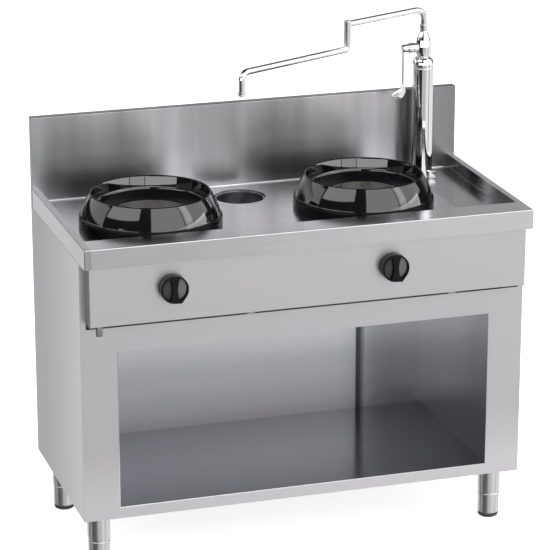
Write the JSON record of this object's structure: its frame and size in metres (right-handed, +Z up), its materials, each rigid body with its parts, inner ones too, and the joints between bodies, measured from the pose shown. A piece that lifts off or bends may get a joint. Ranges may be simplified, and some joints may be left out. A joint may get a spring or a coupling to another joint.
{
  "type": "wok range",
  "caption": "Freestanding stainless steel gas wok range with a recessed worktop, lift-off wok rings, a splashback, an open storage compartment and a jointed swivel tap.",
  "frame": {"origin": "On the floor under the middle of the bounding box.", "axes": "+Z is up, -Y is the side the cook stands at, +X is the cook's right."},
  "size_m": [1.2, 0.616, 1.343],
  "materials": {
    "brushed_steel": "satin",
    "inner_steel": "satin",
    "bracket_steel": "matte",
    "leg_steel": "satin",
    "pad_black": "matte",
    "black_enamel": "gloss",
    "cast_iron": "rough",
    "valve_brass": "satin",
    "gas_pipe": "satin",
    "plated_steel": "satin",
    "knob_black": "gloss",
    "tap_chrome": "polished"
  },
  "bodies": {
    "range": {"worktop": "brushed_steel", "splashback": "brushed_steel", "left_side_panel": "brushed_steel", "right_side_panel": "brushed_steel", "front_frame": "brushed_steel", "control_panel": "brushed_steel", "base_shelf": "inner_steel", "compartment_left_wall": "inner_steel", "compartment_right_wall": "inner_steel", "compartment_back_wall": "inner_steel", "compartment_ceiling": "inner_steel", "rear_panel": "inner_steel", "manifold_brackets": "inner_steel", "leg_plates": "inner_steel", "drain_bowl": "inner_steel", "drain_outlet": "inner_steel", "burner_chamber_left": "inner_steel", "burner_chamber_right": "inner_steel", "panel_tab": "bracket_steel", "leg_tubes": "leg_steel", "burner_body_left": "cast_iron", "burner_body_right": "cast_iron", "burner_injectors": "valve_brass", "gas_valve_left": "valve_brass", "gas_valve_right": "valve_brass", "gas_inlet_fitting": "valve_brass", "tap_locknut": "valve_brass", "gas_manifold": "gas_pipe", "gas_supply_pipe": "gas_pipe", "burner_feed_pipes": "gas_pipe", "water_supply_pipe": "gas_pipe", "rear_panel_screws": "plated_steel", "pilot_burners": "plated_steel", "flame_sensors": "plated_steel", "tap_column": "tap_chrome", "tap_base_block": "tap_chrome", "tap_valve_body": "tap_chrome"},
    "knob_push_left": {"spring_seat_left": "plated_steel"},
    "knob_push_right": {"spring_seat_right": "plated_steel"},
    "knob_left": {"knob_left": "knob_black", "spindle_left": "plated_steel"},
    "knob_right": {"knob_right": "knob_black", "spindle_right": "plated_steel"},
    "ring_left": {"wok_ring_left": "black_enamel"},
    "ring_right": {"wok_ring_right": "black_enamel"},
    "crown_left": {"burner_crown_left": "cast_iron"},
    "crown_right": {"burner_crown_right": "cast_iron"},
    "strainer": {"strainer_basket": "inner_steel"},
    "lever": {"tap_lever": "tap_chrome"},
    "inner_arm": {"tap_inner_arm": "tap_chrome"},
    "outer_arm": {"tap_outer_arm": "tap_chrome", "tap_nozzle": "tap_chrome"},
    "foot_front_left": {"foot_stem_front_left": "leg_steel", "foot_pad_front_left": "pad_black"},
    "foot_front_right": {"foot_stem_front_right": "leg_steel", "foot_pad_front_right": "pad_black"},
    "foot_rear_left": {"foot_stem_rear_left": "leg_steel", "foot_pad_rear_left": "pad_black"},
    "foot_rear_right": {"foot_stem_rear_right": "leg_steel", "foot_pad_rear_right": "pad_black"}
  },
  "joints": [
    {"name": "knob_left_push", "type": "slide", "parent": "range", "child": "knob_push_left", "axis": [0, 1, 0], "range_m": [0, 0.004], "stiffness_N_per_m": 2000, "springref_m": -0.003},
    {"name": "knob_left_turn", "type": "hinge", "parent": "knob_push_left", "child": "knob_left", "pos_m": [-0.371, -0.29, 0.78], "axis": [0, -1, 0], "range_deg": [0, 210]},
    {"name": "knob_right_push", "type": "slide", "parent": "range", "child": "knob_push_right", "axis": [0, 1, 0], "range_m": [0, 0.004], "stiffness_N_per_m": 2000, "springref_m": -0.003},
    {"name": "knob_right_turn", "type": "hinge", "parent": "knob_push_right", "child": "knob_right", "pos_m": [0.217, -0.29, 0.78], "axis": [0, -1, 0], "range_deg": [0, 210]},
    {"name": "ring_left_lift", "type": "slide", "parent": "range", "child": "ring_left", "axis": [0, 0, 1], "range_m": [0, 0.15]},
    {"name": "crown_left_lift", "type": "slide", "parent": "range", "child": "crown_left", "axis": [0, 0, 1], "range_m": [0, 0.13]},
    {"name": "ring_right_lift", "type": "slide", "parent": "range", "child": "ring_right", "axis": [0, 0, 1], "range_m": [0, 0.15]},
    {"name": "crown_right_lift", "type": "slide", "parent": "range", "child": "crown_right", "axis": [0, 0, 1], "range_m": [0, 0.13]},
    {"name": "strainer_lift", "type": "slide", "parent": "range", "child": "strainer", "axis": [0, 0, 1], "range_m": [0, 0.1]},
    {"name": "tap_lever_turn", "type": "hinge", "parent": "range", "child": "lever", "pos_m": [0.435, 0.2194, 1.227], "axis": [-1, 0, 0], "range_deg": [0, 60]},
    {"name": "inner_arm_swivel", "type": "hinge", "parent": "range", "child": "inner_arm", "pos_m": [0.479, 0.2194, 1.29], "axis": [0, 0, 1], "continuous": true},
    {"name": "outer_arm_swivel", "type": "hinge", "parent": "inner_arm", "child": "outer_arm", "pos_m": [0.22016, 0.10253, 1.3], "axis": [0, 0, 1], "range_deg": [-165, 165]},
    {"name": "foot_front_left_height", "type": "slide", "parent": "range", "child": "foot_front_left", "axis": [0, 0, -1], "range_m": [0, 0.03]},
    {"name": "foot_front_right_height", "type": "slide", "parent": "range", "child": "foot_front_right", "axis": [0, 0, -1], "range_m": [0, 0.03]},
    {"name": "foot_rear_left_height", "type": "slide", "parent": "range", "child": "foot_rear_left", "axis": [0, 0, -1], "range_m": [0, 0.03]},
    {"name": "foot_rear_right_height", "type": "slide", "parent": "range", "child": "foot_rear_right", "axis": [0, 0, -1], "range_m": [0, 0.03]}
  ]
}
